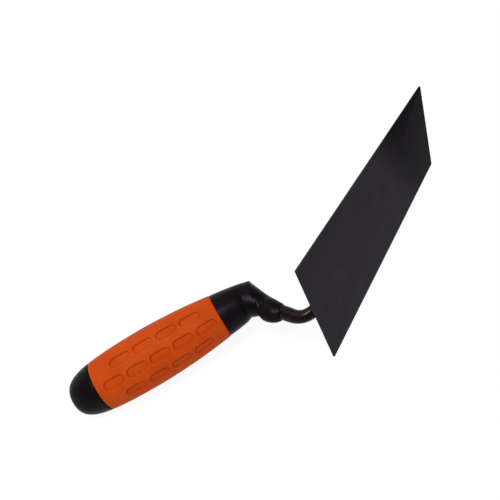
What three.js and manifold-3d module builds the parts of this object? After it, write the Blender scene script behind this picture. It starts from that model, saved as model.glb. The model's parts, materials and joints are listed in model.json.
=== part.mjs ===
// Bricklaying trowel with a trapezoid blade, a cranked round shank and a two-material handle.
//
// The tool is modelled in its own working frame, in millimetres: X runs forward along the blade from
// the heel edge to the front edge, Y runs across the blade, and Z runs up from the blade's working face
// to the handle. Handle parts are turned about their own axis, which starts at the butt end and runs
// forward and down to the elbow. The last section lays the finished tool on its side, on the blade's
// long edge and the belly of the handle, which is how it rests on a bench.

import * as THREE from 'three';
import { mergeVertices } from 'three/addons/utils/BufferGeometryUtils.js';
import Module from 'manifold-3d';

const wasm = await Module();
wasm.setup();

// Driving dimensions.
const gap = 0.3; // clearance kept between pieces that touch
const bladeLength = 178;
const heelWidth = 99;
const frontWidth = 76;
const bladeThickness = 1.2;
const bladeCornerRadius = 0.8;

const barRadius = 4.4; // round bar that the shank is bent from
const crankX = -3.7; // the bar comes down this far behind the heel edge
const elbowZ = 52.9; // height at which the bar's axis meets the handle's axis
const elbowBend = 13; // bend radius of the bar's axis at the elbow
const heelBend = 10; // bend radius of the bar's axis above the heel
const tangEnd = 56; // the bar's buried end, measured from the butt
const footEnd = 62; // front end of the foot, measured from the heel edge
const footHalfWidth = 6.5; // half width of the forged foot
const forgeStart = -5; // the bar starts to flatten here, measured from the heel edge
const forgeEnd = 19; // and is flat from here on
const footDepth = 0.5; // share of the bar's depth that is left where the foot starts
const toeDepth = 0.3; // and at the foot's front end
const toeLength = 9; // the foot's front end narrows over this length
const toeNarrowing = 0.8; // how far it narrows

const handleTilt = THREE.MathUtils.degToRad(33.2); // handle axis to blade
const handleReach = 131.2; // butt end to elbow, along the handle axis
const handleRadius = 19.15; // at the widest point
const widestAt = 55.5; // from the butt
const bowRadius = 388; // of the long curve of the handle's side
const noseExponent = 6.8; // how late the side turns into the nose
const noseRound = 3.28; // how full the nose is
const gripStart = 20.2; // the grip sleeve's two ends, from the butt
const gripEnd = 111;
const gripThickness = 3.2;
const neckStep = 0.2; // the neck is this much slimmer than the grip's front end

const padLength = 15;
const padWidth = 7;
const padDepth = 0.8;
const padPitch = 16.9; // along a row
const bankTurns = [42.5, 222.5]; // degrees round from the belly line to the middle row of each bank
const rowTurn = 36; // degrees from a bank's middle row to the row on either side
const longRowStart = 32.7; // first pad centre in the middle row of five, from the butt
const longRowCount = 5;
const shortRowStart = 42.5; // first pad centre in a side row of four
const shortRowCount = 4;

const stemRadius = 8.5; // the butt cap's plug
const stemEnd = 36; // from the butt
const socketEnd = 38;

const weldRadius = 1.5;
const weldStart = 16;
const weldEnd = 50;

const around = 24; // facets round the handle
const alongGrip = 7; // facets along the grip
const alongNose = 9; // facets along the nose of the butt cap
const ringsPerStation = 3; // facets along the neck between two stations
const barFacets = 12; // facets round the bar
const barSteps = 58; // facets along the bar
const weldFacets = 8; // facets round a weld bead
const punchFacets = 3; // facets along each quarter turn of a punch's curve
const beyond = 2; // how far a cutting body reaches past the body it cuts

const materials = {
  blackenedSteel: { color: 0x2d2b30, roughness: 0.55, metalness: 0.6 },
  varnishedSteel: { color: 0x3a3033, roughness: 0.4, metalness: 0.6 },
  weldSteel: { color: 0x34302f, roughness: 0.6, metalness: 0.7 },
  blackPlastic: { color: 0x1b181b, roughness: 0.5, metalness: 0 },
  orangeRubber: { color: 0xc35326, roughness: 0.6, metalness: 0 },
};

function mesh(name, geometry, finish) {
  const made = new THREE.Mesh(geometry, new THREE.MeshStandardMaterial(materials[finish]));
  made.name = name;
  return made;
}

// Solid booleans.

function solidOf(geometry) {
  const bare = geometry.clone();
  bare.deleteAttribute('normal');
  bare.deleteAttribute('uv');
  const merged = mergeVertices(bare, 1e-3);
  return new wasm.Manifold(new wasm.Mesh({
    numProp: 3,
    vertProperties: new Float32Array(merged.attributes.position.array),
    triVerts: new Uint32Array(merged.index.array),
  }));
}

function geometryOf(solid) {
  const { vertProperties, triVerts } = solid.getMesh();
  const geometry = new THREE.BufferGeometry();
  geometry.setAttribute('position', new THREE.BufferAttribute(vertProperties, 3));
  geometry.setIndex(new THREE.BufferAttribute(triVerts, 1));
  geometry.computeVertexNormals();
  return geometry;
}

// Handle frame: distance along the axis from the butt, and offset from the axis, positive upwards.

const axisDirection = new THREE.Vector2(Math.cos(handleTilt), -Math.sin(handleTilt));
const upDirection = new THREE.Vector2(Math.sin(handleTilt), Math.cos(handleTilt));
const elbow = new THREE.Vector2(crankX, elbowZ);
const butt = elbow.clone().addScaledVector(axisDirection, -handleReach);

function onHandle(along, offset) {
  return butt.clone().addScaledVector(axisDirection, along).addScaledVector(upDirection, offset);
}

// The handle's outer radius: one long arc, closed at the butt by a full nose.
function radiusAt(along) {
  const side = handleRadius - (along - widestAt) ** 2 / (2 * bowRadius);
  const fromNose = Math.max(0, 1 - along / widestAt);
  return side * (1 - fromNose ** noseExponent) ** (1 / noseRound);
}

function radiusPoints(start, end, inset, count) {
  return Array.from({ length: count + 1 }, (unused, i) => {
    const along = start + ((end - start) * i) / count;
    return new THREE.Vector2(radiusAt(along) - inset, along);
  });
}

// The same points with an end on the axis before and after them.
function closed(points) {
  const first = points[0];
  const last = points[points.length - 1];
  return [new THREE.Vector2(0, first.y), ...points, new THREE.Vector2(0, last.y)];
}

// A turned piece on the handle's axis, from points of radius and distance from the butt.
function turned(points) {
  const geometry = new THREE.LatheGeometry(points, around);
  geometry.rotateZ(-Math.PI / 2);
  geometry.rotateY(handleTilt);
  geometry.translate(butt.x, 0, butt.y);
  return geometry;
}

function blade() {
  const heel = heelWidth / 2;
  const front = frontWidth / 2;
  const corners = [
    new THREE.Vector2(0, -heel),
    new THREE.Vector2(bladeLength, -front),
    new THREE.Vector2(bladeLength, front),
    new THREE.Vector2(0, heel),
  ];
  const outline = new THREE.Shape();
  corners.forEach((corner, i) => {
    const before = corners[(i + 3) % 4];
    const after = corners[(i + 1) % 4];
    const entry = corner.clone().addScaledVector(before.clone().sub(corner).normalize(), bladeCornerRadius);
    const exit = corner.clone().addScaledVector(after.clone().sub(corner).normalize(), bladeCornerRadius);
    if (i === 0) outline.moveTo(entry.x, entry.y);
    else outline.lineTo(entry.x, entry.y);
    outline.quadraticCurveTo(corner.x, corner.y, exit.x, exit.y);
  });
  outline.closePath();
  return new THREE.ExtrudeGeometry(outline, { depth: bladeThickness, bevelEnabled: false, curveSegments: 3 });
}

// The bar's axis: down the handle, round the elbow, down to the heel and forward on to the blade.

function barPath(tail) {
  const footZ = bladeThickness + gap + barRadius;
  const elbowReach = elbowBend * Math.tan((Math.PI / 2 - handleTilt) / 2);
  const intoElbow = onHandle(handleReach - elbowReach, 0);
  const outOfElbow = elbowZ - elbowReach;
  const tailPoint = onHandle(tail, 0);
  const at = (x, z) => new THREE.Vector3(x, 0, z);
  const path = new THREE.CurvePath();
  path.add(new THREE.LineCurve3(at(tailPoint.x, tailPoint.y), at(intoElbow.x, intoElbow.y)));
  path.add(new THREE.QuadraticBezierCurve3(
    at(intoElbow.x, intoElbow.y), at(elbow.x, elbow.y), at(crankX, outOfElbow)));
  path.add(new THREE.LineCurve3(at(crankX, outOfElbow), at(crankX, footZ + heelBend)));
  path.add(new THREE.QuadraticBezierCurve3(
    at(crankX, footZ + heelBend), at(crankX, footZ), at(crankX + heelBend, footZ)));
  path.add(new THREE.LineCurve3(at(crankX + heelBend, footZ), at(footEnd, footZ)));
  return path;
}

function circle(radius, facets) {
  return new THREE.Shape(Array.from({ length: facets }, (unused, i) => {
    const angle = (2 * Math.PI * i) / facets;
    return new THREE.Vector2(radius * Math.cos(angle), radius * Math.sin(angle));
  }));
}

function bar(radius, tail) {
  return new THREE.ExtrudeGeometry(circle(radius, barFacets), {
    steps: barSteps,
    bevelEnabled: false,
    extrudePath: barPath(tail),
  });
}

// The foot's width and depth at a point, as shares of the round bar's. Nothing is forged above the bend.
function footShape(x, z, roundTop) {
  const low = 1 - THREE.MathUtils.smoothstep(z, roundTop, roundTop + heelBend);
  const forged = low * THREE.MathUtils.smoothstep(x, forgeStart, forgeEnd);
  const alongFoot = THREE.MathUtils.clamp((x - forgeEnd) / (footEnd - forgeEnd), 0, 1);
  const intoToe = THREE.MathUtils.clamp((x - footEnd + toeLength) / toeLength, 0, 1);
  const fullWidth = 1 + forged * (footHalfWidth / barRadius - 1);
  return {
    width: fullWidth * Math.sqrt(1 - toeNarrowing * intoToe ** 2),
    depth: 1 + forged * (footDepth - 1) + alongFoot * (toeDepth - footDepth),
  };
}

function shank() {
  const geometry = bar(barRadius, tangEnd);
  const seat = bladeThickness + gap;
  const position = geometry.attributes.position;
  for (let i = 0; i < position.count; i += 1) {
    const shape = footShape(position.getX(i), position.getZ(i), seat + 2 * barRadius);
    position.setY(i, position.getY(i) * shape.width);
    position.setZ(i, seat + (position.getZ(i) - seat) * shape.depth);
  }
  return geometry;
}

function weld(side) {
  const offset = side * (footHalfWidth + gap + weldRadius);
  const z = bladeThickness + gap + weldRadius;
  const run = new THREE.LineCurve3(
    new THREE.Vector3(weldStart, offset, z), new THREE.Vector3(weldEnd, offset, z));
  return new THREE.ExtrudeGeometry(circle(weldRadius, weldFacets), {
    steps: 1,
    bevelEnabled: false,
    extrudePath: run,
  });
}

// The neck's upper and lower outlines in the tool's middle plane, as pairs of points from the grip's
// front end to the collar round the bar, with the half width across the tool at each pair.
function neckStations() {
  const shoulder = radiusAt(gripEnd) - neckStep;
  const handleStation = (along, radius) => ({
    upper: onHandle(along, radius), lower: onHandle(along, -radius), half: radius,
  });
  const station = (upperX, upperZ, lowerX, lowerZ, half) => ({
    upper: new THREE.Vector2(upperX, upperZ), lower: new THREE.Vector2(lowerX, lowerZ), half,
  });
  return [
    handleStation(gripEnd + gap, shoulder),
    handleStation(gripEnd + 8, shoulder - 0.85),
    handleStation(gripEnd + 14, shoulder - 1.8),
    station(3.9, 62.2, -13.3, 44.9, 12),
    station(9.3, 57.4, -11.5, 41, 10.8),
    station(7.3, 51, -10.8, 39, 8.9),
    station(5.3, 44, -11.5, 37.6, 7.2),
    station(3.9, 38.5, -12.4, 35.5, 6.8),
    station(2.9, 33, -13.1, 32.4, 7),
    station(2.3, 29, -12.8, 28.8, 6.8),
    station(1.9, 26, -11.4, 25, 6.2),
    station(1.7, 23.6, -9.3, 22.8, 5.6),
  ];
}

// A closed skin over rings that stand on pairs of upper and lower points.
function skin(stations) {
  const last = stations.length - 1;
  const upperCurve = new THREE.SplineCurve(stations.map((s) => s.upper));
  const lowerCurve = new THREE.SplineCurve(stations.map((s) => s.lower));
  const halfCurve = new THREE.SplineCurve(stations.map((s, i) => new THREE.Vector2(i, s.half)));
  const rings = last * ringsPerStation;
  const profile = [new THREE.Vector2(0, 0)];
  for (let ring = 0; ring <= rings; ring += 1) profile.push(new THREE.Vector2(1, ring));
  profile.push(new THREE.Vector2(0, rings));
  const geometry = new THREE.LatheGeometry(profile, around);
  const position = geometry.attributes.position;
  for (let i = 0; i < position.count; i += 1) {
    const share = position.getY(i) / rings;
    const upper = upperCurve.getPoint(share);
    const lower = lowerCurve.getPoint(share);
    const up = position.getZ(i);
    const middle = upper.clone().add(lower).multiplyScalar(0.5);
    const reach = upper.clone().sub(lower).multiplyScalar(0.5);
    position.setXYZ(
      i,
      middle.x + reach.x * up,
      -halfCurve.getPoint(share).y * position.getX(i),
      middle.y + reach.y * up,
    );
  }
  return geometry;
}

function core() {
  const neck = solidOf(skin(neckStations()));
  const barrel = solidOf(turned(closed(
    radiusPoints(gripStart + gap, gripEnd + beyond, gripThickness + gap, alongGrip))));
  const socket = solidOf(turned(closed([
    new THREE.Vector2(stemRadius + gap, gripStart - beyond),
    new THREE.Vector2(stemRadius + gap, socketEnd),
  ])));
  const bore = solidOf(bar(barRadius + gap, tangEnd - gap));
  return geometryOf(neck.add(barrel).subtract(socket).subtract(bore));
}

function stadium(length, width) {
  const end = width / 2;
  const reach = length / 2 - end;
  const outline = new THREE.Shape();
  outline.absarc(reach, 0, end, -Math.PI / 2, Math.PI / 2);
  outline.absarc(-reach, 0, end, Math.PI / 2, (3 * Math.PI) / 2);
  return outline;
}

// One pad-shaped punch standing out from the handle's axis, before the handle is tilted.
function padPunch(along, angle) {
  const punch = new THREE.ExtrudeGeometry(stadium(padLength, padWidth), {
    depth: handleRadius + beyond,
    bevelEnabled: false,
    curveSegments: punchFacets,
  });
  punch.translate(along, 0, 0);
  punch.rotateX(angle);
  punch.rotateY(handleTilt);
  punch.translate(butt.x, 0, butt.y);
  return punch;
}

function rowPunches(start, count, turn) {
  const angle = Math.PI - THREE.MathUtils.degToRad(turn);
  return Array.from({ length: count }, (unused, i) => solidOf(padPunch(start + padPitch * i, angle)));
}

// Each bank of pads is a row of five between two rows of four, with plain rubber between the banks.
function gripPunches() {
  const punches = bankTurns.flatMap((turn) => [
    ...rowPunches(shortRowStart, shortRowCount, turn - rowTurn),
    ...rowPunches(longRowStart, longRowCount, turn),
    ...rowPunches(shortRowStart, shortRowCount, turn + rowTurn),
  ]);
  return punches.reduce((all, punch) => all.add(punch));
}

function gripSleeve() {
  const outer = radiusPoints(gripStart + gap, gripEnd, 0, alongGrip);
  const inner = radiusPoints(gripStart + gap, gripEnd, gripThickness, alongGrip).reverse();
  const tube = solidOf(turned([...outer, ...inner, outer[0].clone()]));
  const padFloor = solidOf(turned(closed(
    radiusPoints(gripStart - beyond, gripEnd + beyond, padDepth, alongGrip))));
  return geometryOf(tube.subtract(gripPunches().subtract(padFloor)));
}

function buttCap() {
  const noseEnd = gripStart - gap;
  return turned([
    ...radiusPoints(0, noseEnd, 0, alongNose),
    new THREE.Vector2(stemRadius, noseEnd),
    new THREE.Vector2(stemRadius, stemEnd),
    new THREE.Vector2(0, stemEnd),
  ]);
}

const tool = new THREE.Group();
tool.add(
  mesh('blade', blade(), 'blackenedSteel'),
  mesh('shank', shank(), 'varnishedSteel'),
  mesh('weld_left', weld(-1), 'weldSteel'),
  mesh('weld_right', weld(1), 'weldSteel'),
  mesh('handle_core', core(), 'blackPlastic'),
  mesh('grip_sleeve', gripSleeve(), 'orangeRubber'),
  mesh('butt_cap', buttCap(), 'blackPlastic'),
);

// Lying on its side. The blade's right long edge is brought on to the X axis, with the handle side up.
// The tool then swings about that edge until the handle's belly has come down as low as the edge.

const taperAngle = Math.atan((heelWidth - frontWidth) / 2 / bladeLength);
const edgeCorner = new THREE.Vector3(0, heelWidth / 2, bladeThickness);
tool.rotation.z = taperAngle;
tool.position.copy(edgeCorner).applyAxisAngle(new THREE.Vector3(0, 0, 1), taperAngle).negate();

function swingToFloor(group) {
  const point = new THREE.Vector3();
  let steepest = 0;
  group.updateMatrixWorld(true);
  group.traverse((piece) => {
    if (!piece.isMesh) return;
    const position = piece.geometry.attributes.position;
    for (let i = 0; i < position.count; i += 1) {
      point.fromBufferAttribute(position, i).applyMatrix4(piece.matrixWorld);
      if (point.z > gap) steepest = Math.max(steepest, Math.atan2(point.z, -point.y));
    }
  });
  return Math.PI - steepest;
}

const lying = new THREE.Group();
lying.add(tool);
lying.rotation.x = -swingToFloor(lying);
const box = new THREE.Box3().setFromObject(lying, true);
lying.position.set(-(box.min.x + box.max.x) / 2, -(box.min.y + box.max.y) / 2, -box.min.z);

export default lying;
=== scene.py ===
"""Looks for the bricklaying trowel: finer meshes, materials, floor, lights and camera.

Pieces are built in millimetres. Those in the tool's own frame have X forward along the blade from its heel
edge, Y across and Z up from the working face. Those in the handle's frame have X along its axis from the
butt, Y across and Z up. Both frames are placed from the working_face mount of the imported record.
"""

import itertools
import json
import math

import bpy
import numpy as np
from mathutils import Matrix, Vector


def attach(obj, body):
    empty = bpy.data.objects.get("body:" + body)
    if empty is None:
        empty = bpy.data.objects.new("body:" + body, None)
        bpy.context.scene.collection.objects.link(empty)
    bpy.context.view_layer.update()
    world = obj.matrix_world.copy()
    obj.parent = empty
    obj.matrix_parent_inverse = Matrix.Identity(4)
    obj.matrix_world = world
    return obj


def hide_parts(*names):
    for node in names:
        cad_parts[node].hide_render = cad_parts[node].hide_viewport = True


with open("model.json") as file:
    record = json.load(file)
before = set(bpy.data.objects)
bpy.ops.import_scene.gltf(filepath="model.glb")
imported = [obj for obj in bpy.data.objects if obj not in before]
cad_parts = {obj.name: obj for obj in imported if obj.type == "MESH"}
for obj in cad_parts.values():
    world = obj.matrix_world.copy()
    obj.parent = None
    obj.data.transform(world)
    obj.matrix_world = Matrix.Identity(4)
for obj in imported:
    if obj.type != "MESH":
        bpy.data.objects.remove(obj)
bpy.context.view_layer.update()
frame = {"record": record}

MM = 0.001

# Blade, in millimetres, as in the CAD part except for its finely rounded edge.
BLADE_LENGTH = 178
HEEL_WIDTH = 99
FRONT_WIDTH = 76
BLADE_THICKNESS = 1.2
BLADE_CORNER = 0.8
BLADE_ROUNDING = 0.22
CORNER_STEPS = 6
ROUNDING_STEPS = 4

# Where painted shade darkens the blade towards its front, in millimetres, and the slant of that edge across
# it.
PAINTED_SHADE_START = 116
PAINTED_SHADE_FULL = 141
PAINTED_SHADE_SLANT = -0.33

# Shank, in millimetres, as in the CAD part except that its foot rests on the blade without a gap and has a
# rounder toe, and its bar swells towards the collar.
BAR_RADIUS = 4.4
BAR_SWELL = 0.4
BAR_AROUND = 40
CRANK_X = -3.7
ELBOW_Z = 52.9
ELBOW_BEND = 13
HEEL_BEND = 10
TANG_END = 56
FOOT_END = 62
FOOT_HALF_WIDTH = 6.5
FORGE_START = -5
FORGE_END = 19
FOOT_DEPTH = 0.5
TOE_DEPTH = 0.3
TOE_LENGTH = 9
TOE_NARROWING = 0.96

# Handle, in millimetres, as in the CAD part except for the cap's plug and the gaps, rims and steps at its
# seams.
HANDLE_TILT = math.radians(33.2)
HANDLE_REACH = 131.2
HANDLE_RADIUS = 19.15
WIDEST_AT = 55.5
BOW_RADIUS = 388
NOSE_EXPONENT = 6.8
NOSE_ROUND = 3.28
GRIP_START = 20.2
GRIP_END = 111
GRIP_THICKNESS = 3.2
NECK_STEP = 0.2
BARREL_REAR_GAP = 0.3
BARREL_FRONT_GAP = 0.8
REAR_GAP = 0.12
FRONT_GAP = 0.05
CAP_STEP = 0.25
CAP_LIP = 0.5
NOSE_TIP = (0.0, 0.05)
PLUG_FILLET = (0.05, 0.1)
PLUG_RADIUS = 8.4
PLUG_END = 37
PLUG_CHAMFER = 0.5

# Pads of the grip, in millimetres and degrees, sunk deeper than the CAD part's.
# Each row has the place of its first pad and a count.
PAD_LENGTH = 15
PAD_WIDTH = 7
PAD_DEPTH = 1.15
PAD_WALL = 0.85
PAD_PITCH = 16.9
BANK_TURNS = (42.5, 222.5)
ROW_TURN = 36
LONG_ROW = (32.7, 5)
SHORT_ROW = (42.5, 4)
GRIP_LIP = 0.7

# Fineness of the handle's meshes: millimetres between the grip's rings, and counts.
GRIP_STEP = 0.36
GRIP_AROUND = 360
CORE_AROUND = 96
CORE_RINGS = 12
RINGS_PER_STATION = 12
CAP_AROUND = 128
NOSE_RINGS = 60
LIP_RINGS = 5

# Weld beads, in millimetres, fuller than the CAD part's. The tip and the ripple are shares of the bead's
# size, and the lag is a share of the ripples' pitch.
WELD_START = 14
WELD_END = 52
WELD_TAPER = 2.2
WELD_TIP = 0.02
WELD_HALF_WIDTH = 1.9
WELD_HEIGHT = 1.7
WELD_LIFT = 0.4
WELD_OUTSET = 0.1
WELD_PITCH = 1.7
WELD_RIPPLE = 0.055
WELD_LAG = 0.45
WELD_WANDER = 0.12
WELD_WANDER_RATE = 0.9
WELD_STATIONS = 150
WELD_AROUND = 20

# Floor and lights, in metres and watts.
FLOOR_REACH = 60
FLOOR_GLOW = 0.93
LIT_PLACE = (-0.05, 0, 0.03)
KEY_LIGHT = {"place": (-0.24, 0.07, 1.21), "size": 0.38, "power": 12}
FAR_LIGHT = {"place": (0.26, 0.77, 0.9), "size": 1, "power": 3.2}

# World: the horizon's full brightness fades to the overhead glow between two heights of the unit direction.
HORIZON_TOP = 0.12
OVERHEAD_START = 0.3
OVERHEAD_GLOW = 0.13

# Camera, in metres and degrees, with its lens and sensor in millimetres.
CAMERA_PLACE = (-0.156451, -0.111253, 0.400430)
CAMERA_TURN = (27.6729, 4.7489, -60.9839)
CAMERA_LENS = 43.2
CAMERA_SENSOR = 36
CAMERA_CLIP = (0.01, 20)


# Frames.


def tool_matrix():
    """The tool's frame in the row's frame, in metres."""
    mount = next(m for m in frame["record"]["mounts"] if m["name"] == "working_face")
    up = -Vector(mount["axis"]).normalized()
    edge = Vector((1, 0, 0))
    taper = math.atan((HEEL_WIDTH - FRONT_WIDTH) / 2 / BLADE_LENGTH)
    forward = edge * math.cos(taper) + up.cross(edge) * math.sin(taper)
    across = up.cross(forward)
    origin = Vector(mount["pos_m"]) - forward * (BLADE_LENGTH / 2 * MM)
    matrix = Matrix((forward, across, up)).transposed().to_4x4()
    matrix.translation = origin
    return matrix


def handle_matrix():
    """The handle's frame in the tool's frame, in millimetres."""
    along = Vector((math.cos(HANDLE_TILT), 0, -math.sin(HANDLE_TILT)))
    up = Vector((math.sin(HANDLE_TILT), 0, math.cos(HANDLE_TILT)))
    matrix = Matrix((along, Vector((0, 1, 0)), up)).transposed().to_4x4()
    matrix.translation = Vector((CRANK_X, 0, ELBOW_Z)) - along * HANDLE_REACH
    return matrix


TOOL = tool_matrix()
HANDLE_IN_TOOL = handle_matrix()
HANDLE = TOOL @ Matrix.Translation(HANDLE_IN_TOOL.translation * MM) @ HANDLE_IN_TOOL.to_3x3().to_4x4()


# Mesh helpers.


def smoothstep(low, high, value):
    """From 0 at low to 1 at high, with a level start and end."""
    t = np.clip((value - low) / (high - low), 0, 1)
    return t * t * (3 - 2 * t)


def all_round(count):
    """Evenly spaced angles of a full turn."""
    return np.arange(count) * 2 * math.pi / count


def add_piece(name, points, faces, matrix, material, node):
    """A smooth piece from points in millimetres in the given frame, standing for one CAD node."""
    data = bpy.data.meshes.new(name)
    data.from_pydata((np.asarray(points, float) * MM).tolist(), [], faces)
    data.transform(matrix)
    data.update()
    data.shade_smooth()
    data.materials.append(material)
    piece = bpy.data.objects.new(name, data)
    bpy.context.scene.collection.objects.link(piece)
    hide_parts(node)
    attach(piece, "root")
    return piece


def loft(rings):
    """Points and faces of a closed skin over rings of equal count, with a fan at each end."""
    rings = np.asarray(rings, float)
    count, around = rings.shape[:2]
    points = list(rings.reshape(-1, 3))
    faces = []
    for ring in range(count - 1):
        for step in range(around):
            turn = (step + 1) % around
            here = ring * around
            faces.append((here + step, here + turn, here + around + turn, here + around + step))
    for ring, order in ((0, -1), (count - 1, 1)):
        centre = len(points)
        points.append(rings[ring].mean(0))
        for step in range(around):
            edge = (ring * around + step, ring * around + (step + 1) % around)
            faces.append((centre, *edge[::order]))
    return points, faces


def turned_rings(profile, around):
    """Rings about the handle's axis from (distance from the butt, radius) pairs."""
    angles = all_round(around)
    return [np.stack([np.full(around, x), -r * np.sin(angles), r * np.cos(angles)], 1) for x, r in profile]


def radius_at(along):
    """The handle's outer radius at distances from the butt: a bowed side with a blunt nose."""
    side = HANDLE_RADIUS - (along - WIDEST_AT) ** 2 / (2 * BOW_RADIUS)
    from_nose = np.clip(1 - np.asarray(along, float) / WIDEST_AT, 0, None)
    return side * (1 - from_nose**NOSE_EXPONENT) ** (1 / NOSE_ROUND)


# Material helpers.


class Nodes:
    """A node material with one Principled shader and short ways to add noise, ramps and bumps."""

    def __init__(self, name):
        self.material = bpy.data.materials.new(name)
        self.material.use_nodes = True
        self.tree = self.material.node_tree
        self.shader = self.tree.nodes["Principled BSDF"]
        place = self.tree.nodes.new("ShaderNodeTexCoord").outputs["Object"]
        into = TOOL.inverted()
        turned = self.add("ShaderNodeMapping", Vector=place)
        turned.inputs["Location"].default_value = into.translation
        turned.inputs["Rotation"].default_value = into.to_euler()
        self.place = turned.outputs["Vector"]
        self.bumped = None

    def add(self, kind, **inputs):
        """A new node, its inputs set or linked by name."""
        node = self.tree.nodes.new(kind)
        for name, value in inputs.items():
            self.feed(node.inputs[name.replace("_", " ")], value)
        return node

    def feed(self, socket, value):
        if isinstance(value, bpy.types.NodeSocket):
            self.tree.links.new(value, socket)
        else:
            socket.default_value = value

    def stretched(self, x, y, z):
        """The tool-frame place scaled along each axis."""
        node = self.add("ShaderNodeMapping", Vector=self.place)
        node.inputs["Scale"].default_value = (x, y, z)
        return node.outputs["Vector"]

    def noise(self, size, detail=3.0, roughness=0.55, vector=None):
        """Noise with features of about the given size in millimetres."""
        node = self.add(
            "ShaderNodeTexNoise",
            Vector=vector or self.place,
            Scale=1 / (size * MM),
            Detail=detail,
            Roughness=roughness,
        )
        return node.outputs["Fac"]

    def ramp(self, value, low, high, to_low, to_high):
        node = self.add(
            "ShaderNodeMapRange",
            Value=value,
            From_Min=low,
            From_Max=high,
            To_Min=to_low,
            To_Max=to_high,
        )
        return node.outputs["Result"]

    def mix(self, factor, first, second):
        node = self.tree.nodes.new("ShaderNodeMix")
        node.data_type = "RGBA"
        self.feed(node.inputs["Factor"], factor)
        self.feed(node.inputs["A"], first)
        self.feed(node.inputs["B"], second)
        return node.outputs["Result"]

    def along_and_across(self):
        """The tool-frame X and Y, in metres."""
        split = self.add("ShaderNodeSeparateXYZ", Vector=self.place)
        return split.outputs["X"], split.outputs["Y"]

    def sum(self, first, second, times=1.0):
        """The first value plus the second times a number."""
        node = self.tree.nodes.new("ShaderNodeMath")
        node.operation = "MULTIPLY_ADD"
        for socket, value in zip(node.inputs, (second, times, first), strict=True):
            self.feed(socket, value)
        return node.outputs["Value"]

    def bump(self, height, depth, strength=1.0):
        """Adds a bump of the given depth in millimetres on top of the bumps so far."""
        node = self.add("ShaderNodeBump", Height=height, Distance=depth * MM, Strength=strength)
        if self.bumped is not None:
            self.feed(node.inputs["Normal"], self.bumped)
        self.bumped = node.outputs["Normal"]
        self.feed(self.shader.inputs["Normal"], self.bumped)

    def shade(self, **inputs):
        for name, value in inputs.items():
            self.feed(self.shader.inputs[name.replace("_", " ")], value)
        return self.material


def tone(red, green, blue):
    return (red, green, blue, 1.0)


# Materials.


def blade_steel():
    """Dark lacquer with a rolled grain along the blade, and painted shade darkening the front end and the -Y
    side.
    """
    n = Nodes("blade_steel")
    grain = n.noise(0.35, detail=2, vector=n.stretched(0.04, 1, 1))
    cloud = n.noise(22, detail=4, roughness=0.6)
    speck = n.noise(0.5, detail=2)
    along, across = n.along_and_across()
    low_edge = -HEEL_WIDTH / 2 * MM

    lacquer = n.mix(n.ramp(cloud, 0.3, 0.7, 0, 1), tone(0.027, 0.024, 0.0305), tone(0.038, 0.0345, 0.042))
    grained = n.mix(n.ramp(grain, 0.35, 0.65, 0, 0.35), lacquer, tone(0.042, 0.037, 0.045))
    # Painted shade: the blade darkens towards its -Y edge.
    with_painted_edge_shade = n.mix(n.ramp(across, low_edge, 0, 0.22, 0), grained, tone(0.012, 0.010, 0.013))

    # Painted shade: the blade's front end is darkened, more towards the -Y edge.
    straight = n.sum(along, across, PAINTED_SHADE_SLANT)
    uneven = n.sum(straight, n.ramp(cloud, 0.3, 0.7, -0.004, 0.004))
    reached = n.ramp(uneven, PAINTED_SHADE_START * MM, PAINTED_SHADE_FULL * MM, 0, 1)
    painted_shade_end = n.sum(0.0, reached, n.ramp(across, low_edge, -low_edge, 0.9, 0.45))
    base = n.mix(painted_shade_end, with_painted_edge_shade, tone(0.006, 0.0045, 0.006))

    n.bump(grain, 0.012, 0.5)
    n.bump(speck, 0.01, 0.4)
    return n.shade(
        Base_Color=base,
        Metallic=0.0,
        Roughness=n.ramp(cloud, 0.3, 0.7, 0.50, 0.60),
        Specular_IOR_Level=0.005,
    )


def shank_steel():
    """Brown-black lacquer on drawn bar."""
    n = Nodes("shank_steel")
    cloud = n.noise(4, detail=4)
    peel = n.noise(0.9, detail=2)
    base = n.mix(n.ramp(cloud, 0.35, 0.65, 0, 1), tone(0.0075, 0.003, 0.003), tone(0.011, 0.0046, 0.0044))
    n.bump(peel, 0.004, 0.2)
    return n.shade(
        Base_Color=base,
        Roughness=n.ramp(cloud, 0.3, 0.7, 0.24, 0.27),
        Specular_IOR_Level=0.11,
    )


def weld_steel():
    """Lacquered weld metal with small pits."""
    n = Nodes("weld_steel")
    cloud = n.noise(2.2, detail=4)
    pits = n.noise(0.5, detail=3)
    base = n.mix(n.ramp(cloud, 0.35, 0.65, 0, 1), tone(0.026, 0.021, 0.021), tone(0.05, 0.036, 0.030))
    n.bump(pits, 0.05, 0.6)
    return n.shade(Base_Color=base, Roughness=n.ramp(pits, 0.3, 0.7, 0.35, 0.6))


def black_plastic(name, roughness):
    """Black moulded plastic with a fine grain."""
    n = Nodes(name)
    cloud = n.noise(9, detail=3)
    grain = n.noise(0.28, detail=2)
    base = n.mix(n.ramp(cloud, 0.35, 0.65, 0, 1), tone(0.0044, 0.0028, 0.0044), tone(0.0064, 0.0044, 0.0066))
    n.bump(grain, 0.02, 0.35)
    return n.shade(
        Base_Color=base,
        Roughness=n.ramp(cloud, 0.3, 0.7, roughness - 0.04, roughness + 0.04),
        Specular_IOR_Level=0.055,
    )


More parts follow.
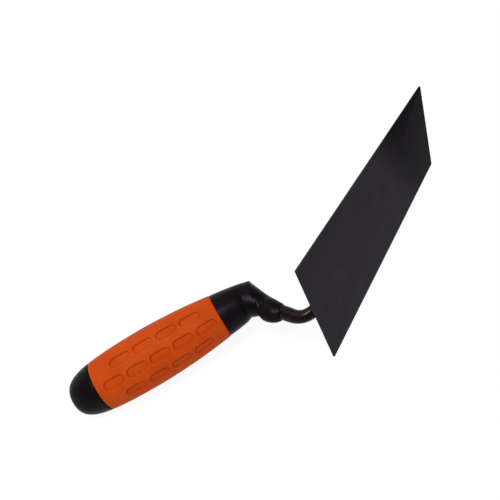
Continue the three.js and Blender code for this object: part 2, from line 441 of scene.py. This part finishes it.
def orange_rubber():
    """Orange soft rubber, with painted shade a little on the pads' floors and more on their walls."""
    n = Nodes("grip_rubber")
    cloud = n.noise(14, detail=4, roughness=0.6)
    grain = n.noise(0.35, detail=3)
    attribute = n.add("ShaderNodeAttribute")
    attribute.attribute_name = "sunk"
    sunk = attribute.outputs["Fac"]

    clean = n.mix(n.ramp(cloud, 0.3, 0.7, 0, 1), tone(0.462, 0.051, 0.0036), tone(0.527, 0.066, 0.006))
    # Painted shade in the pads: their floors are darkened a little and their walls more, where shade falls
    # in the recesses.
    with_painted_recess_shade = n.mix(n.ramp(sunk, 0, 1, 0, 0.08), clean, tone(0.36, 0.034, 0.003))
    onto_wall = n.ramp(sunk, 0.1, 0.6, 0, 0.5)
    off_wall = n.ramp(sunk, 0.65, 1, 1, 0)
    base = n.mix(n.sum(0.0, onto_wall, off_wall), with_painted_recess_shade, tone(0.2, 0.012, 0.001))

    n.bump(grain, 0.03, 0.35)
    return n.shade(
        Base_Color=base,
        Roughness=n.ramp(grain, 0.3, 0.7, 0.48, 0.60),
        Specular_IOR_Level=0.04,
    )


# Blade.


def rounded_outline():
    """The blade's outline, with an arc at each corner."""
    heel, front = HEEL_WIDTH / 2, FRONT_WIDTH / 2
    corners = np.array([(0, -heel), (BLADE_LENGTH, -front), (BLADE_LENGTH, front), (0, heel)], float)
    steps = np.linspace(0, 1, CORNER_STEPS)[:, None]
    outline = []
    for i, corner in enumerate(corners):
        before = corners[i - 1] - corner
        after = corners[(i + 1) % 4] - corner
        entry = corner + before / np.linalg.norm(before) * BLADE_CORNER
        leave = corner + after / np.linalg.norm(after) * BLADE_CORNER
        outline.extend((1 - steps) ** 2 * entry + 2 * steps * (1 - steps) * corner + steps**2 * leave)
    return np.array(outline)


def inward_normals(runs):
    """Unit normals on the left of each run, which is the blade's inside."""
    return np.stack([-runs[:, 1], runs[:, 0]], 1) / np.linalg.norm(runs, axis=1)[:, None]


def inset(outline, amount):
    """The outline moved inwards by the amount, along its corner normals."""
    ahead = inward_normals(np.roll(outline, -1, 0) - outline)
    behind = inward_normals(outline - np.roll(outline, 1, 0))
    normal = ahead + behind
    normal /= np.linalg.norm(normal, axis=1)[:, None]
    share = (normal * ahead).sum(1)[:, None]
    return outline + normal * amount / share


def make_blade(material):
    """The sheet, its upper and lower edges rounded."""
    outline = rounded_outline()
    rounding = []
    for angle in np.linspace(0, math.pi / 2, ROUNDING_STEPS):
        edge = inset(outline, BLADE_ROUNDING * (1 - math.cos(angle)))
        rounding.append((edge, BLADE_ROUNDING * (1 - math.sin(angle))))
    lower = [np.c_[edge, np.full(len(edge), level)] for edge, level in rounding[::-1]]
    upper = [np.c_[edge, np.full(len(edge), BLADE_THICKNESS - level)] for edge, level in rounding]
    points, faces = loft(lower + upper)
    add_piece("blade_sheet", points, faces, TOOL, material, "blade")


# Shank.


def arc(start, corner, end, steps):
    """Points of a round bend that leaves start towards corner and arrives at end, end left out."""
    start, corner, end = (np.asarray(p, float) for p in (start, corner, end))
    into = (corner - start) / np.linalg.norm(corner - start)
    out = (end - corner) / np.linalg.norm(end - corner)
    bend = math.acos(float(np.clip(into @ out, -1, 1)))
    radius = np.linalg.norm(corner - start) / math.tan(bend / 2)
    inward = out - into * (into @ out)
    inward /= np.linalg.norm(inward)
    angles = np.linspace(0, bend, steps, endpoint=False)
    centre = start + inward * radius
    return [centre + radius * (math.sin(a) * into - math.cos(a) * inward) for a in angles]


def run(start, end, steps):
    """Points from start towards end, end left out."""
    return list(np.linspace(start, end, steps, endpoint=False))


def bar_path():
    """The bar's axis in the tool's middle plane, as (x, z) points, from the tang to the toe."""
    seat = BLADE_THICKNESS + BAR_RADIUS
    along = np.array([math.cos(HANDLE_TILT), -math.sin(HANDLE_TILT)])
    elbow = np.array([CRANK_X, ELBOW_Z], float)
    reach = ELBOW_BEND * math.tan((math.pi / 2 - HANDLE_TILT) / 2)
    tail = elbow - along * (HANDLE_REACH - TANG_END)
    bend_in = elbow - along * reach
    bend_out = elbow - np.array([0, reach])
    drop_end = np.array([CRANK_X, seat + HEEL_BEND], float)
    foot_start = np.array([CRANK_X + HEEL_BEND, seat], float)
    toe = np.array([FOOT_END, seat], float)
    points = [
        *run(tail, bend_in, steps=6),
        *arc(bend_in, elbow, bend_out, steps=12),
        *run(bend_out, drop_end, steps=12),
        *arc(drop_end, (CRANK_X, seat), foot_start, steps=28),
        *run(foot_start, toe, steps=56),
        toe,
    ]
    return np.array(points)


def swept(path, radii):
    """Rings of a bar along a path in the tool's middle plane, with a radius for each point of each ring."""
    tangent = np.gradient(path, axis=0)
    tangent /= np.linalg.norm(tangent, axis=1)[:, None]
    angles = all_round(radii.shape[1])
    rings = []
    for (x, z), (tx, tz), radius in zip(path, tangent, radii, strict=True):
        up = radius * np.cos(angles)
        side = radius * np.sin(angles)
        rings.append(np.stack([x - tz * up, -side, z + tx * up], 1))
    return np.array(rings)


def forged(rings):
    """The bar's rings with the run along the blade flattened into a foot with a rounded toe."""
    x, y, z = rings[..., 0], rings[..., 1], rings[..., 2]
    top = BLADE_THICKNESS + 2 * BAR_RADIUS
    near_blade = 1 - smoothstep(top, top + HEEL_BEND, z)
    flattened = near_blade * smoothstep(FORGE_START, FORGE_END, x)
    along = np.clip((x - FORGE_END) / (FOOT_END - FORGE_END), 0, 1)
    into_toe = np.clip((x - FOOT_END + TOE_LENGTH) / TOE_LENGTH, 0, 1)
    widened = 1 + flattened * (FOOT_HALF_WIDTH / BAR_RADIUS - 1)
    narrowed = np.sqrt(1 - TOE_NARROWING * into_toe**2)
    depth = 1 + flattened * (FOOT_DEPTH - 1) + along * (TOE_DEPTH - FOOT_DEPTH)
    return np.stack([x, y * widened * narrowed, BLADE_THICKNESS + (z - BLADE_THICKNESS) * depth], -1)


def make_shank(material):
    """The bent bar: it swells a little towards the collar and is forged flat along the blade."""
    path = bar_path()
    plain = swept(path, np.full((len(path), BAR_AROUND), BAR_RADIUS))
    swollen = BAR_RADIUS + BAR_SWELL * smoothstep(HEEL_BEND, 2 * HEEL_BEND, plain[..., 2])
    points, faces = loft(forged(swept(path, swollen)))
    add_piece("shank_bar", points, faces, TOOL, material, "shank")


def make_weld(name, node, side, material):
    """A fillet bead of overlapping crescents between the foot and the blade, on one side of the foot."""
    angles = all_round(WELD_AROUND)
    rings = []
    for x in np.linspace(WELD_START, WELD_END, WELD_STATIONS):
        share = max(min(1, (x - WELD_START) / WELD_TAPER, (WELD_END - x) / WELD_TAPER), WELD_TIP)
        crescents = np.abs(np.sin(math.pi * (x / WELD_PITCH + WELD_LAG * np.cos(angles))))
        size = math.sqrt(share * (2 - share)) * (1 + WELD_RIPPLE * crescents)
        centre = FOOT_HALF_WIDTH + WELD_OUTSET + WELD_WANDER * math.sin(x * WELD_WANDER_RATE + side)
        across = side * (centre + WELD_HALF_WIDTH * size * np.sin(angles))
        up = BLADE_THICKNESS + WELD_LIFT + WELD_HEIGHT * size * np.cos(angles)
        rings.append(np.stack([np.full(WELD_AROUND, x), across, np.maximum(up, BLADE_THICKNESS)], 1))
    rings = np.array(rings)
    if side > 0:
        rings = rings[:, ::-1]
    points, faces = loft(rings)
    add_piece(name, points, faces, TOOL, material, node)


# Handle.


def on_handle(along, offset):
    """The tool-frame (x, z) of a place along the handle's axis and off it, in the middle plane."""
    point = HANDLE_IN_TOOL @ Vector((along, 0, offset))
    return (point.x, point.z)


def barrel_station(along, radius):
    """A round station of the handle: upper and lower points, half width, and no bow."""
    return (on_handle(along, radius), on_handle(along, -radius), radius, 0)


def between(first, second, share):
    """A station part of the way from one to the next."""
    return tuple(
        np.asarray(a, float) * (1 - share) + np.asarray(b, float) * share
        for a, b in zip(first, second, strict=True)
    )


def neck_stations():
    """From the grip to the collar: upper and lower (x, z) points, half width and forward bow."""
    shoulder = radius_at(GRIP_END) - NECK_STEP
    drops = ((-0.6, 1.2), (0, 0.35), (0.5, 0.02), (3, 0.25), (8, 0.85), (14, 1.8))
    stations = [barrel_station(GRIP_END + along, shoulder - drop) for along, drop in drops]
    barrel_end = ((3.9, 62.2), (-13.3, 44.9), 12, 0.3)
    mitre = ((8.5, 57.1), (-11.6, 41.2), 11, 1.5)
    below = ((7.1, 51), (-10.8, 39), 9.3, 0.8)
    stations += [barrel_end, between(barrel_end, mitre, 0.5), mitre, between(mitre, below, 0.55), below]
    stations += [
        ((5.3, 44), (-11.7, 37.6), 7.7, 0.2),
        ((4.5, 41), (-12.1, 36.9), 6.9, 0),
        ((3.9, 38.5), (-12.6, 35.6), 6.7, 0),
        ((3.6, 36.8), (-12.9, 34.7), 6.8, 0),
        ((3.2, 34.8), (-13.1, 33.4), 7.2, 0),
        ((2.8, 32), (-13.1, 31.4), 7.3, 0),
        ((2.4, 29.6), (-12.7, 28.9), 7, 0),
        ((2.2, 28.4), (-12, 26.6), 6.6, 0),
        ((2, 27.2), (-11, 24.7), 6, 0),
        ((1.8, 25.8), (-9.3, 22.8), 5.5, 0),
    ]
    return stations


def spline(values, share):
    """Catmull-Rom through the rows of values at a share from 0 to 1."""
    values = np.asarray(values, float)
    place = share * (len(values) - 1)
    i = min(int(place), len(values) - 2)
    t = place - i
    p0, p1, p2, p3 = (values[min(max(i + k, 0), len(values) - 1)] for k in (-1, 0, 1, 2))
    return 0.5 * (
        2 * p1
        + (p2 - p0) * t
        + (2 * p0 - 5 * p1 + 4 * p2 - p3) * t**2
        + (3 * p1 - p0 - 3 * p2 + p3) * t**3
    )


def neck_ring(upper, lower, half, bow, angles):
    """An oval through the upper and lower points, its sides pushed along the handle's axis by the bow."""
    upper, lower = np.asarray(upper), np.asarray(lower)
    middle = (upper + lower) / 2
    reach = (upper - lower) / 2
    up = np.cos(angles)
    side = np.sin(angles)
    ahead = bow * side**2
    x = middle[0] + reach[0] * up + ahead * math.cos(HANDLE_TILT)
    z = middle[1] + reach[1] * up - ahead * math.sin(HANDLE_TILT)
    return np.stack([x, -half * side, z], 1)


def make_core(material):
    """The black moulding: the barrel inside the grip, then the neck down to the collar."""
    angles = all_round(CORE_AROUND)
    rings = []
    for along in np.linspace(GRIP_START + BARREL_REAR_GAP, GRIP_END - BARREL_FRONT_GAP, CORE_RINGS):
        rings.append(neck_ring(*barrel_station(along, radius_at(along) - GRIP_THICKNESS), angles))
    columns = list(zip(*neck_stations(), strict=True))
    count = RINGS_PER_STATION * (len(columns[0]) - 1)
    for share in np.linspace(0, 1, count + 1):
        rings.append(neck_ring(*(spline(column, share) for column in columns), angles))
    points, faces = loft(rings)
    add_piece("neck_moulding", points, faces, TOOL, material, "handle_core")


def pad_depth(along, angle):
    """How far the grip's surface is sunk, from 0 to 1, at points along it and round it."""
    deepest = np.zeros(np.broadcast(along, angle).shape)
    end = PAD_WIDTH / 2
    sides = ((-ROW_TURN, SHORT_ROW), (0, LONG_ROW), (ROW_TURN, SHORT_ROW))
    for bank, (offset, (start, count)) in itertools.product(BANK_TURNS, sides):
        centre = math.radians(bank + offset)
        turn = (angle - centre + math.pi) % (2 * math.pi) - math.pi
        across = turn * radius_at(along)
        for i in range(count):
            beside = np.abs(along - start - PAD_PITCH * i) - (PAD_LENGTH / 2 - end)
            away = np.hypot(np.clip(beside, 0, None), across) - end
            deepest = np.maximum(deepest, 1 - smoothstep(-PAD_WALL, 0, away))
    return deepest


def tube(rings):
    """Points and faces of a ring-shaped skin: the last ring joins the first."""
    rings = np.asarray(rings, float)
    count, around = rings.shape[:2]
    faces = []
    for ring in range(count):
        ahead = (ring + 1) % count * around
        here = ring * around
        for step in range(around):
            turn = (step + 1) % around
            faces.append((here + step, here + turn, ahead + turn, ahead + step))
    return rings.reshape(-1, 3), faces


def rolled(size):
    """A rounded rim as (distance from the end, drop) pairs."""
    turn = np.linspace(0, math.pi / 2, LIP_RINGS)
    return [(size * (1 - math.sin(a)), size * (1 - math.cos(a))) for a in turn]


def make_sleeve(material):
    """The grip: sunk at the pads outside, plain inside. Angles run from the belly to -Y."""
    first, last = GRIP_START + REAR_GAP, GRIP_END - FRONT_GAP
    rise = [(first + inside, -drop) for inside, drop in reversed(rolled(GRIP_LIP))]
    fall = [(last - inside, -drop) for inside, drop in rolled(GRIP_LIP)]
    body_start, body_end = first + GRIP_LIP + GRIP_STEP, last - GRIP_LIP - GRIP_STEP / 2
    body = [(along, 0.0) for along in np.arange(body_start, body_end, GRIP_STEP)]
    wall = [(first, -GRIP_THICKNESS), *rise, *body, *fall, (last, -GRIP_THICKNESS)]
    angles = all_round(GRIP_AROUND)
    rings = []
    sunk = []
    for along, offset in wall:
        depth = pad_depth(np.full(GRIP_AROUND, along), angles)
        radius = radius_at(along) + offset - PAD_DEPTH * depth
        ring = [np.full(GRIP_AROUND, along), -radius * np.sin(angles), -radius * np.cos(angles)]
        rings.append(np.stack(ring, 1))
        sunk.append(depth)
    points, faces = tube(np.array(rings)[:, ::-1])
    piece = add_piece("grip_skin", points, faces, HANDLE, material, "grip_sleeve")
    # The pads' depth is kept as the sunk attribute, the mask for the rubber's painted shade in the pads.
    layer = piece.data.attributes.new("sunk", "FLOAT", "POINT")
    layer.data.foreach_set("value", np.array(sunk)[:, ::-1].reshape(-1))


def make_cap(material):
    """The domed end: nose, rolled edge at the seam, and the plug that sits in the core."""
    seam = GRIP_START - REAR_GAP
    spaced = seam * np.linspace(0.0, 1, NOSE_RINGS)[1:] ** 2
    nose = [(along, float(radius_at(along))) for along in spaced if along < seam - CAP_LIP]
    edge = float(radius_at(seam)) - CAP_STEP
    rim = [(seam - inside, edge - drop) for inside, drop in rolled(CAP_LIP)]
    plug = [
        (seam, PLUG_RADIUS + PLUG_FILLET[1]),
        (seam + PLUG_FILLET[0], PLUG_RADIUS),
        (PLUG_END - PLUG_CHAMFER, PLUG_RADIUS),
        (PLUG_END, PLUG_RADIUS - PLUG_CHAMFER),
    ]
    points, faces = loft(turned_rings([NOSE_TIP, *nose, *rim, *plug], CAP_AROUND))
    add_piece("butt_dome", points, faces, HANDLE, material, "butt_cap")


# Stage.


def floor():
    """A wide pale floor that glows evenly, so that it looks white from every side."""
    n = Nodes("floor")
    cloud = n.noise(300, detail=2)
    base = n.mix(n.ramp(cloud, 0.3, 0.7, 0, 1), tone(0.08, 0.08, 0.08), tone(0.09, 0.09, 0.09))
    n.shade(
        Base_Color=base,
        Roughness=0.9,
        Specular_IOR_Level=0.0,
        Emission_Color=tone(1, 1, 1),
        Emission_Strength=FLOOR_GLOW,
    )
    data = bpy.data.meshes.new("floor")
    corners = [(x * FLOOR_REACH, y * FLOOR_REACH, 0) for x, y in ((-1, -1), (1, -1), (1, 1), (-1, 1))]
    data.from_pydata(corners, [], [(0, 1, 2, 3)])
    data.materials.append(n.material)
    piece = bpy.data.objects.new("floor", data)
    bpy.context.scene.collection.objects.link(piece)


def area_light(name, place, size, power):
    """A round soft light that points at the tool."""
    data = bpy.data.lights.new(name, "AREA")
    data.shape = "DISK"
    data.size = size
    data.energy = power
    light = bpy.data.objects.new(name, data)
    light.location = place
    aim = Vector(LIT_PLACE) - Vector(place)
    light.rotation_euler = aim.to_track_quat("-Z", "Y").to_euler()
    bpy.context.scene.collection.objects.link(light)


def camera():
    """The camera, at the reference view."""
    data = bpy.data.cameras.new("camera")
    data.lens = CAMERA_LENS
    data.sensor_width = CAMERA_SENSOR
    data.clip_start, data.clip_end = CAMERA_CLIP
    piece = bpy.data.objects.new("camera", data)
    piece.location = CAMERA_PLACE
    piece.rotation_euler = tuple(math.radians(angle) for angle in CAMERA_TURN)
    bpy.context.scene.collection.objects.link(piece)
    bpy.context.scene.camera = piece


def surroundings():
    """A world that is dim overhead and as pale as the floor at the horizon."""
    world = bpy.data.worlds.new("studio")
    world.use_nodes = True
    tree = world.node_tree
    place = tree.nodes.new("ShaderNodeTexCoord")
    split = tree.nodes.new("ShaderNodeSeparateXYZ")
    fade = tree.nodes.new("ShaderNodeMapRange")
    fade.inputs["From Min"].default_value = HORIZON_TOP
    fade.inputs["From Max"].default_value = OVERHEAD_START
    fade.inputs["To Min"].default_value = 1.0
    fade.inputs["To Max"].default_value = OVERHEAD_GLOW
    background = tree.nodes["Background"]
    background.inputs["Color"].default_value = tone(1, 1, 1)
    tree.links.new(place.outputs["Generated"], split.inputs["Vector"])
    tree.links.new(split.outputs["Z"], fade.inputs["Value"])
    tree.links.new(fade.outputs["Result"], background.inputs["Strength"])
    bpy.context.scene.world = world


floor()
surroundings()
area_light("key", **KEY_LIGHT)
area_light("far_side", **FAR_LIGHT)
camera()
bpy.context.scene.view_settings.view_transform = "Standard"

make_blade(blade_steel())
make_shank(shank_steel())
weld = weld_steel()
make_weld("bead_left", "weld_left", -1, weld)
make_weld("bead_right", "weld_right", 1, weld)
make_core(black_plastic("core_plastic", 0.36))
make_sleeve(orange_rubber())
make_cap(black_plastic("cap_plastic", 0.42))
